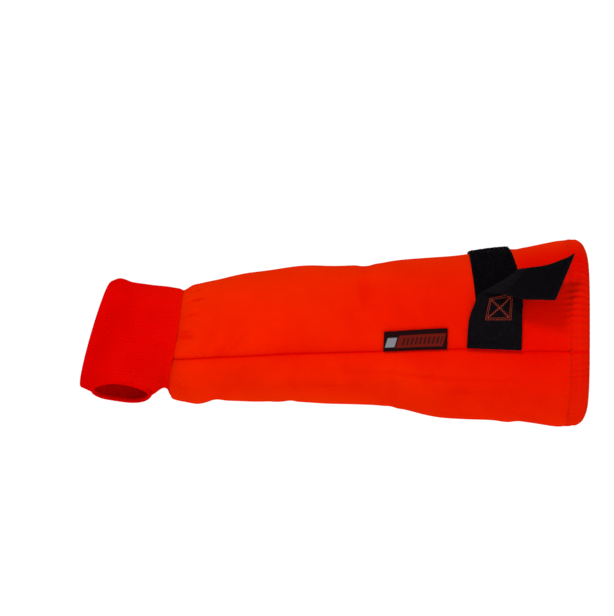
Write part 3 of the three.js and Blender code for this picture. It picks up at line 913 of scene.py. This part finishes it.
def hole_rim(count):
    """Points round the thumb hole on the middle of the knit."""
    phi = around(count)[:, None]
    start = (HOLE_CENTRE + HOLE_HALF_LONG * np.cos(phi) * HOLE_ALONG
             + HOLE_HALF_WIDE * np.sin(phi) * HOLE_ACROSS)
    low, high = np.full(count, -HOLE_ABOVE), np.full(count, 30.0)
    for _ in range(40):
        mid = (low + high) / 2
        inside = in_cuff(start + mid[:, None] * HOLE_DOWN, CUFF_WALL / 2) < 0
        low, high = np.where(inside, mid, low), np.where(inside, high, mid)
    return start + low[:, None] * HOLE_DOWN


def rim_piece():
    """Overlocked edge of the thumb hole: a rounded binding with thread ridges."""
    count, sides, ridges = 420, 18, 90
    half_out, half_through, outset = 1.7, 2.15, 0.9
    line = hole_rim(count)
    tangent = unit(np.roll(line, -1, 0) - np.roll(line, 1, 0))
    normal = unit(np.cross(tangent, unit(line - line.mean(0))))
    out = np.cross(normal, tangent)
    psi = around(sides)[None, :, None]
    ridge = 1 + 0.09 * np.cos(np.arange(count) * 2 * math.pi * ridges / count)
    ring = np.cos(psi) * out[:, None] * half_out + np.sin(psi) * normal[:, None] * half_through
    points = line[:, None] + out[:, None] * outset + ring * ridge[:, None, None]
    index = closed(closed(np.arange(count * sides).reshape(count, sides), 0), 1)
    faces = quads(np.arange(index.size).reshape(index.shape))[:, ::-1]
    coords = np.zeros((*index.shape, 3))
    coords[..., 0] = np.arange(count + 1)[:, None] * 0.28
    coords[..., 1] = np.arange(sides + 1)[None] * 0.6
    return add_mesh("thumb_hole_edge", points.reshape(-1, 3), index.reshape(-1)[faces], knit,
                    coords.reshape(-1, 3)[faces.reshape(-1)])


# Strap, tapes and label


def strap_edges(part):
    """Left and right edge of the strap, from 0 at its root to 1 at its free end."""
    row = stations(STRAP, np.asarray(part) * (len(STRAP) - 1))

    def edge(first):
        x, z, lift = row[..., first], row[..., first + 1], row[..., first + 2]
        point = sleeve(x, front_angle(x, z), 0)
        point[..., 1] -= lift
        return point

    return edge(LEFT_EDGE), edge(RIGHT_EDGE)


def strap_points(part, share, height):
    """Points at a share of the strap's width, off its middle by height."""
    part, share, height = np.broadcast_arrays(np.asarray(part, float), share, height)
    s = share[..., None]

    def across(left, right):
        return left * (1 - s) + right * s

    left, right = strap_edges(part)
    ahead, back = np.minimum(part + 0.01, 1), np.maximum(part - 0.01, 0)
    along = across(*strap_edges(ahead)) - across(*strap_edges(back))
    return across(left, right) + unit(np.cross(right - left, along)) * height[..., None]


def edge_round(share, width, half):
    """Half-thickness across a tape, rounded at both edges."""
    near = np.minimum(share, 1 - share) * width
    t = np.clip(1 - near / half, 0, 1)
    return half * np.sqrt(np.maximum(1 - t ** 2, 0.02))


def edge_line(share, width, inset, reach):
    """1 along the two lines this far in from a tape's edges."""
    return bell(np.minimum(share, 1 - share) * width - inset, reach)


def tape_shares(width, half, step):
    """Shares across a tape, close together where its edges are rounded."""
    rim = half * (1 - np.cos(np.linspace(0, math.pi / 2, 5)))
    inside = np.linspace(rim[-1], width - rim[-1], max(2, round(width / step)))[1:-1]
    return np.concatenate([rim, inside, width - rim[::-1]]) / width


def strap_lift(part, share):
    """The strap's own bend across its width: a slight cup, a crease and wrinkles by the fold."""
    cup = 2.0 * share * (1 - share) * np.clip(part * 4 - 0.3, 0, 1)
    crease = -0.55 * bell(share - 0.44, 0.035) * bell(part - 0.24, 0.13)
    wrinkle = 0.35 * np.sin(share * 24 + part * 30) * bell(part - 0.5, 0.06) * np.clip(share * 4, 0, 1)
    return cup + crease + wrinkle


def strap_layer(name, share, part, top, bottom, material):
    """A tape that follows the strap, from bottom to top over the strap's middle."""
    lift = strap_lift(part, share)
    outer, inner = strap_points(part, share, lift + top), strap_points(part, share, lift + bottom)
    return wall(name, outer, inner, pairs(share * STRAP_WIDE, part * STRAP_LONG), material)


def strap_piece():
    share = tape_shares(STRAP_WIDE, STRAP_HALF, 1.1)[:, None]
    half = edge_round(share, STRAP_WIDE, STRAP_HALF) - 0.12 * edge_line(share, STRAP_WIDE, 2.2, 0.7)
    part = np.linspace(0, 1, 170)[None, :]
    return strap_layer("fastening_strap_woven", share, part, half, -half, strap_black)


def hook_piece():
    width = STRAP_WIDE - 2 * HOOK_INSET
    share = (HOOK_INSET + tape_shares(width, HOOK_HALF, 1.2) * width)[:, None] / STRAP_WIDE
    part = np.linspace(*HOOK_SPAN, 80)[None, :]
    return strap_layer("hook_tape_base", share, part, HOOK_TOP, HOOK_TOP - HOOK_BASE, hook_black)


def ribbons(name, roots, ups, sideways, bends, profile, width, material):
    """Many small bent threads of three sides in one mesh. profile rows are (up, bend) steps."""
    count, steps = len(roots), len(profile)
    rise, reach = np.array(profile).T[:, None, :, None]
    line = roots[:, None] + ups[:, None] * rise + bends[:, None] * reach
    side = np.broadcast_to(sideways[:, None], line.shape)
    face = unit(np.cross(side, np.gradient(line, axis=1)))
    corners = [(-0.5, -0.29), (0.5, -0.29), (0.0, 0.58)]
    points = np.stack([line + (side * a + face * b) * width for a, b in corners], 2)
    index = np.arange(count * steps * 3).reshape(count, steps, 3)
    low, high = index[:, :-1], index[:, 1:]
    turn = [1, 2, 0]
    faces = np.concatenate([
        np.stack([low, high, low[..., turn]], -1).reshape(-1, 3),
        np.stack([low[..., turn], high, high[..., turn]], -1).reshape(-1, 3),
        index[:, 0],
        index[:, -1, ::-1],
    ])
    return add_mesh(name, points.reshape(-1, 3), faces, material)


def hook_field():
    """Rows of small hooks, bent one way or the other along the strap."""
    margin = HOOK_INSET + HOOK_MARGIN
    part, share = np.meshgrid(
        np.linspace(HOOK_SPAN[0] + 0.012, HOOK_SPAN[1] - 0.012, 34),
        np.linspace(margin, STRAP_WIDE - margin, 22) / STRAP_WIDE, indexing="ij")
    part = (part + rng.uniform(-0.002, 0.002, part.shape)).ravel()
    share = (share + rng.uniform(-0.004, 0.004, share.shape)).ravel()
    foot = strap_lift(part, share) + HOOK_TOP - 0.55
    root = strap_points(part, share, foot)
    up = unit(strap_points(part, share, foot - 1.0) - root)
    along = unit(strap_points(np.minimum(part + 0.01, 1), share, foot) - root)
    along = along * np.where(rng.random(len(root)) < 0.5, 1, -1)[:, None]
    profile = [(0, 0), (0.5, -0.05), (0.85, 0.08), (0.95, 0.32), (0.8, 0.5)]
    return ribbons("hook_tape_hooks", root, up, np.cross(up, along), along, profile, 0.22, pile_black)


def strip_points(angle, share, offset):
    """Points over the sleeve at an angle and a share of the loop strip's width."""
    row = stations(LOOP, angle)
    return sleeve(row[..., 1] * (1 - share) + row[..., 2] * share, angle, TAPE_GAP + offset)


def loop_piece():
    share = tape_shares(LOOP_WIDE, LOOP_HALF, 1.0)[:, None]
    share, angle = np.broadcast_arrays(share, np.linspace(LOOP_FROM, LOOP_TO, 190)[None, :])
    half = edge_round(share, LOOP_WIDE, LOOP_HALF)
    sewn = -0.45 * edge_line(share, LOOP_WIDE, LOOP_SEWN, 0.6)
    outer = strip_points(angle, share, LOOP_HALF + half + sewn)
    inner = strip_points(angle, share, LOOP_HALF - half)
    return wall("loop_strip_base", outer, inner, pairs(share * LOOP_WIDE, angle * 1.1), loop_black)


def loop_pile():
    """Loops of pile all over the strip, fewer along its two sewn lines."""
    count = 5600
    angle = rng.uniform(LOOP_FROM + 0.6, LOOP_TO - 0.6, count)
    share = rng.uniform(0.025, 0.975, count)
    sewn = np.abs(np.abs(share - 0.5) - 0.448) < 0.014
    share = np.where(sewn, 0.5 + (share - 0.5) * 0.93, share)
    root = strip_points(angle, share, 1.25)
    up = unit(strip_points(angle, share, 2.25) - root)
    spin = rng.uniform(0, 2 * math.pi, count)[:, None]
    level = unit(np.cross(up, (1.0, 0, 0)))
    bend = level * np.cos(spin) + np.cross(up, level) * np.sin(spin)
    size = rng.uniform(0.55, 1.05, count)[:, None]
    profile = [(-0.1, 0), (0.5, 0.12), (0.8, 0.45), (0.55, 0.85), (0.0, 1.0)]
    return ribbons("loop_strip_pile", root, up * size, np.cross(up, bend), bend * size, profile, 0.2,
                   pile_black)


def label_piece():
    """Label sewn in along the seam, standing off the sleeve towards its upper edge."""
    share = tape_shares(LABEL_WIDE, LABEL_HALF, 1.0)[:, None]
    part = tape_shares(LABEL_HEIGHT, LABEL_HALF, 0.7)[None, :]
    share, part = np.broadcast_arrays(share, part)
    x = LABEL_LEFT + LABEL_WIDE * share
    height = LABEL_HEIGHT + LABEL_RISE * share
    angle = seam_angle(x) + arc_angle(x, 0.1 + part * (height - 0.1))
    half = np.minimum(edge_round(share, LABEL_WIDE, LABEL_HALF), edge_round(part, LABEL_HEIGHT, LABEL_HALF))
    lift = 0.35 + part ** 1.5 + 0.25 * np.sin(share * 7) * part - 0.9 * decay(part * LABEL_HEIGHT, 1.2)
    lift = lift + 0.8 * bell(seam_gaps(x, angle), SEAM_REACH) + LABEL_HALF
    outer, inner = sleeve(x, angle, lift + half), sleeve(x, angle, lift - half)
    return wall("seam_label_woven", outer, inner, pairs(share, part), label_satin)


# Stitches


def stitches(name, surface, begins, ends, radius, sink, material):
    """Short rounded threads on a surface, which gives points for places and a lift off it."""
    sides, steps = 6, 5
    start, end = surface(begins, 0.0), surface(ends, 0.0)
    off = unit(surface(begins, 1.0) - start)
    t = np.linspace(0, 1, steps)
    arch = np.sin(t * math.pi)
    line = start[:, None] * (1 - t)[None, :, None] + end[:, None] * t[None, :, None]
    line = line + off[:, None] * (arch * radius * 1.3 - sink)[None, :, None]
    axis = unit(end - start)
    side = unit(np.cross(axis, off))
    psi = around(sides)[None, :, None]
    ring = side[:, None] * np.cos(psi) + np.cross(side, axis)[:, None] * np.sin(psi)
    thick = (0.55 + 0.45 * arch) * radius
    points = line[:, :, None] + ring[:, None] * thick[None, :, None, None]
    index = np.arange(len(start) * steps * sides).reshape(len(start), steps, sides)
    loop = closed(index, 2)
    walls = np.stack([loop[:, :-1, :-1], loop[:, 1:, :-1], loop[:, 1:, 1:], loop[:, :-1, 1:]], -1)
    caps = [[0, 1, 2, 3], [0, 3, 4, 5]]
    first = [index[:, 0][:, cap] for cap in caps]
    last = [index[:, -1][:, cap[::-1]] for cap in caps]
    faces = np.concatenate([walls.reshape(-1, 4)] + first + last)
    return add_mesh(name, points.reshape(-1, 3), faces, material)


def hem_stitches():
    """One stitch in each dip between the hem's gathers."""
    def surface(angle, lift):
        return tube(SLEEVE, HEM_START, angle, hem_gather(angle) - 0.11 + lift)

    pitch = 360 / HEM_STITCHES
    begin = (np.arange(HEM_STITCHES) + 0.24) * pitch
    return stitches("elbow_hem_stitches", surface, begin, begin + 0.52 * pitch, 0.26, 0.02, orange_thread)


def strip_stitches():
    """A row of stitches along each edge of the loop strip."""
    def surface(place, lift):
        return strip_points(place[:, 0], place[:, 1], 0.98 + lift)

    angle = np.linspace(LOOP_FROM + 1, LOOP_TO - 2.4, 74)
    inset = LOOP_SEWN / LOOP_WIDE
    begin = np.concatenate([pairs(angle, inset), pairs(angle, 1 - inset)])
    return stitches("loop_strip_stitches", surface, begin, begin + (1.5, 0), 0.24, 0.05, black_thread)


def on_strap(where, height):
    """Points over the strap's front from mm across and mm up from the mark's foot."""
    share, part = where[:, 0] / STRAP_WIDE, MARK_FROM + where[:, 1] / STRAP_LONG
    return strap_points(part, share, strap_lift(part, share) + STRAP_HALF + height)


def box_stitch():
    """A plain box stitch with a cross, in two rows of dull orange thread."""
    starts, ends = [], []

    def run(a, b):
        a, b = np.array(a, float), np.array(b, float)
        n = max(2, round(np.linalg.norm(b - a) / 1.9))
        k = np.arange(n)[:, None]
        starts.append(a + (b - a) * k / n)
        ends.append(a + (b - a) * (k + 0.78) / n)

    def sides(inset):
        return MARK_LEFT + inset, MARK_RIGHT - inset, inset, MARK_HEIGHT - inset

    for inset in (0.0, 1.3):
        left, right, low, high = sides(inset)
        corners = [(left, low), (right, low), (right, high), (left, high)]
        for a, b in zip(corners, corners[1:] + corners[:1]):
            run(a, b)
    left, right, low, high = sides(1.6)
    for shift in (-0.6, 0.6):
        run((left + shift, low), (right + shift, high))
        run((left + shift, high), (right + shift, low))
    return stitches("fastening_strap_box_stitch", on_strap, np.concatenate(starts), np.concatenate(ends),
                    0.3, 0.02, mark_thread)


def tack_stitches():
    """Close slanting stitches along the strap's root."""
    def surface(place, lift):
        return strap_points(place[:, 0], place[:, 1], STRAP_HALF + lift)

    begin = pairs(0.022, np.linspace(0.04, 0.94, 34))
    return stitches("fastening_strap_tack", surface, begin, begin + (0.02, 0.013), 0.22, 0.03, black_thread)


# Pieces, and what they stand for

simulate()
upper = panel("upper_panel_padded", upper_span, 205, orange)
lower = panel("lower_panel_padded", lower_span, 145, orange_low)
hem = hem_piece()
cuff = cuff_piece()
rim = rim_piece()
strap = strap_piece()
hooks = hook_piece()
hook_hooks = hook_field()
strip = loop_piece()
pile = loop_pile()
label = label_piece()
hem_thread = hem_stitches()
strip_thread = strip_stitches()
mark = box_stitch()
tack_thread = tack_stitches()

slots = {
    upper: "upper_panel", lower: "lower_panel", hem: "elbow_hem", cuff: "knit_cuff", rim: "knit_cuff",
    strap: "fastening_strap", hooks: "hook_tape", hook_hooks: "hook_tape", strip: "loop_strip",
    pile: "loop_strip", label: "seam_label", hem_thread: "elbow_hem", strip_thread: "loop_strip",
    mark: "fastening_strap", tack_thread: "fastening_strap",
}
# Each of these replaces the node that has its slot's name
for piece in (upper, lower, hem, cuff, strap, hooks, strip, label):
    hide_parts(slots[piece])
for piece, slot in slots.items():
    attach(piece, "root")

# Stage, light and camera

FLOOR_HALF, FLOOR_Z = 12000.0, -330.0
WORLD_LIGHT, WORLD_SEEN = 0.36, 1.05
# Places in metres
LIT_PLACE, CAMERA_PLACE = (0.12, 0, 0), (0.104, -2.0, 0.0224)

scene = bpy.context.scene
scene.view_settings.view_transform = "Standard"


def floor_material():
    """Pale floor that glows by emission, faintly under the object and more away from it, where it turns to
    plain white.
    """
    t = Tree("pale_floor", roughness=0.9, specular=0.05)
    place = t.place()
    far = t.nodes.new("ShaderNodeVectorMath")
    far.operation = "LENGTH"
    t.plug(far, {0: place})
    glow = t.ramp(far.outputs["Value"], 0.3, 1.15, 0.12, 0.7)
    t.plug(t.shader, {"Emission Color": (1, 1, 1), "Emission Strength": glow})
    return t.finish(t.mix(t.noise(place, scale=6.0), (0.9, 0.9, 0.9), (0.94, 0.94, 0.94)))


def studio_world():
    """White backdrop that lights the object less than it shows."""
    world = bpy.data.worlds.new("studio")
    world.use_nodes = True
    nodes, links = world.node_tree.nodes, world.node_tree.links
    background = nodes["Background"]
    background.inputs["Color"].default_value = (1, 1, 1, 1)
    path = nodes.new("ShaderNodeLightPath")
    strength = nodes.new("ShaderNodeMapRange")
    strength.inputs["To Min"].default_value = WORLD_LIGHT
    strength.inputs["To Max"].default_value = WORLD_SEEN
    links.new(path.outputs["Is Camera Ray"], strength.inputs["Value"])
    links.new(strength.outputs[0], background.inputs["Strength"])
    return world


def add_object(name, data, place):
    obj = bpy.data.objects.new(name, data)
    scene.collection.objects.link(obj)
    obj.location = place
    return obj


def area_light(name, place, target, size, power):
    data = bpy.data.lights.new(name, "AREA")
    data.shape, data.size, data.energy = "DISK", size, power
    away = Vector(target) - Vector(place)
    add_object(name, data, place).rotation_euler = away.to_track_quat("-Z", "Y").to_euler()


corners = FLOOR_HALF * np.array([(-1, -1), (1, -1), (1, 1), (-1, 1)])
floor_points = np.column_stack([corners, np.full(4, FLOOR_Z)])
floor = add_mesh("floor", floor_points, np.array([[0, 1, 2, 3]]), floor_material())
scene.world = studio_world()
area_light("key", (-0.25, -1.3, 1.3), (0.14, 0, 0), 0.4, 15)
area_light("fill", (0.4, -1.9, -0.2), LIT_PLACE, 1.2, 6)
area_light("top", (0.2, 0.35, 1.7), LIT_PLACE, 1.2, 6)
area_light("back", (0.1, 1.7, 0.5), LIT_PLACE, 1.4, 9)

camera_data = bpy.data.cameras.new("camera")
camera_data.lens, camera_data.sensor_width = 146.1, 36.0
camera_data.clip_end = 50
camera = add_object("camera", camera_data, CAMERA_PLACE)
camera.rotation_euler = (math.radians(90), 0, 0)
scene.camera = camera
